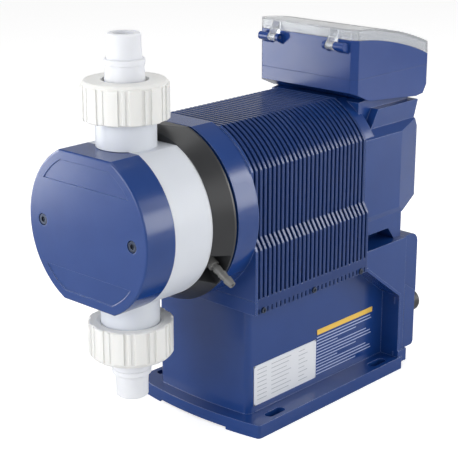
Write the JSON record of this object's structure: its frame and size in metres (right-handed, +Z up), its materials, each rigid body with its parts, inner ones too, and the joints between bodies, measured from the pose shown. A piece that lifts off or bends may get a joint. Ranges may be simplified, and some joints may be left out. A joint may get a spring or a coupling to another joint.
{
  "type": "metering pump",
  "caption": "Motor-driven diaphragm metering pump: round liquid end with two union ports, finned drive housing, base casting and tilted control unit with a clear lid.",
  "frame": {"origin": "centre of the four mounting slots, on the underside of the base plate", "axes": "+X to the right seen from the liquid end, +Y from the liquid end to the rear, +Z up along the ports"},
  "size_m": [0.1549, 0.3654, 0.3405],
  "materials": {
    "blue_enamel": "satin",
    "blue_plastic": "satin",
    "black_plastic": "matte",
    "black_bracket": "satin",
    "grey_polymer": "satin",
    "head_polymer": "satin",
    "white_polymer": "satin",
    "bush_bronze": "machined",
    "bright_steel": "machined",
    "dark_screw": "satin",
    "diaphragm_rubber": "matte",
    "gasket_grey": "matte",
    "gland_rubber": "matte",
    "valve_ball_ceramic": "polished",
    "gear_polymer": "satin",
    "motor_black": "satin",
    "cast_frame": "cast",
    "circuit_laminate": "satin",
    "panel_grey": "satin",
    "dark_window": "glossy",
    "key_rubber": "matte",
    "clear_lid": "clear polycarbonate",
    "label_film": "satin",
    "band_yellow": "satin"
  },
  "bodies": {
    "pump": {"base_pedestal": "blue_enamel", "power_board": "circuit_laminate", "terminal_block": "black_plastic", "terminal_cover": "blue_enamel", "cable_gland": "gland_rubber", "ribbed_cover": "blue_enamel", "cover_screws": "bright_steel", "front_housing": "blue_enamel", "rear_housing": "blue_enamel", "pump_bracket": "black_bracket", "drain_barb": "grey_polymer", "rod_bush": "bush_bronze", "pump_head": "head_polymer", "head_bolts": "bright_steel", "head_cover": "blue_enamel", "head_cover_screws": "dark_screw", "diaphragm": "diaphragm_rubber", "guide_rods": "bright_steel", "screw_bearings": "bright_steel", "motor": "motor_black", "drive_frame": "cast_frame", "frame_bolts": "bright_steel", "valve_gaskets": "diaphragm_rubber", "upper_end_connector": "head_polymer", "lower_end_connector": "head_polymer", "upper_valve_seat": "gasket_grey", "upper_valve_cage": "head_polymer", "lower_valve_seat": "gasket_grey", "lower_valve_cage": "head_polymer", "control_case_lower": "blue_plastic", "control_case_upper": "blue_plastic", "control_board": "circuit_laminate", "control_panel": "panel_grey", "display_window": "dark_window", "lid_pins": "bright_steel", "nameplate": "label_film", "side_band_plate": "band_yellow"},
    "plunger": {"plunger": "bright_steel", "diaphragm_disc": "diaphragm_rubber"},
    "screw": {"lead_screw": "bright_steel", "drive_gear": "gear_polymer"},
    "pinion": {"motor_pinion": "bright_steel"},
    "upper_nut": {"upper_union_nut": "white_polymer"},
    "lower_nut": {"lower_union_nut": "white_polymer"},
    "upper_ball": {"upper_valve_ball": "valve_ball_ceramic"},
    "lower_ball": {"lower_valve_ball": "valve_ball_ceramic"},
    "lid": {"control_lid": "clear_lid"},
    "key_1": {"key_1": "key_rubber"},
    "key_2": {"key_2": "key_rubber"},
    "key_3": {"key_3": "key_rubber"},
    "key_4": {"key_4": "key_rubber"},
    "key_5": {"key_5": "key_rubber"}
  },
  "joints": [
    {"name": "screw_turn", "type": "hinge", "parent": "pump", "child": "screw", "pos_m": [0, -0.03, 0.1923], "axis": [0, 1, 0], "range_deg": [0, 144]},
    {"name": "pinion_turn", "type": "hinge", "parent": "pump", "child": "pinion", "pos_m": [0, 0.005, 0.2238], "axis": [0, 1, 0], "range_deg": [-360, 0]},
    {"name": "plunger_stroke", "type": "slide", "parent": "pump", "child": "plunger", "axis": [0, -1, 0], "range_m": [0, 0.004]},
    {"name": "upper_ball_lift", "type": "slide", "parent": "pump", "child": "upper_ball", "axis": [0, 0, 1], "range_m": [0, 0.003]},
    {"name": "lower_ball_lift", "type": "slide", "parent": "pump", "child": "lower_ball", "axis": [0, 0, 1], "range_m": [0, 0.003]},
    {"name": "upper_nut_turn", "type": "hinge", "parent": "pump", "child": "upper_nut", "pos_m": [0, -0.1748, 0.2876], "axis": [0, 0, 1], "range_deg": [0, 360]},
    {"name": "lower_nut_turn", "type": "hinge", "parent": "pump", "child": "lower_nut", "pos_m": [0, -0.1748, 0.097], "axis": [0, 0, -1], "range_deg": [0, 360]},
    {"name": "lid_hinge", "type": "hinge", "parent": "pump", "child": "lid", "pos_m": [0, 0.0346, 0.3076], "axis": [1, 0, 0], "range_deg": [0, 110]},
    {"name": "key_1_press", "type": "slide", "parent": "pump", "child": "key_1", "axis": [0, -0.2189, -0.9758], "range_m": [0, 0.001], "stiffness_N_per_m": 300, "springref_m": -0.0005},
    {"name": "key_2_press", "type": "slide", "parent": "pump", "child": "key_2", "axis": [0, -0.2189, -0.9758], "range_m": [0, 0.001], "stiffness_N_per_m": 300, "springref_m": -0.0005},
    {"name": "key_3_press", "type": "slide", "parent": "pump", "child": "key_3", "axis": [0, -0.2189, -0.9758], "range_m": [0, 0.001], "stiffness_N_per_m": 300, "springref_m": -0.0005},
    {"name": "key_4_press", "type": "slide", "parent": "pump", "child": "key_4", "axis": [0, -0.2189, -0.9758], "range_m": [0, 0.001], "stiffness_N_per_m": 300, "springref_m": -0.0005},
    {"name": "key_5_press", "type": "slide", "parent": "pump", "child": "key_5", "axis": [0, -0.2189, -0.9758], "range_m": [0, 0.001], "stiffness_N_per_m": 300, "springref_m": -0.0005}
  ],
  "couplings": [
    {"joint": "screw_turn", "follows": "plunger_stroke", "rad_per_m": 628.32},
    {"joint": "pinion_turn", "follows": "plunger_stroke", "rad_per_m": -1570.8}
  ]
}
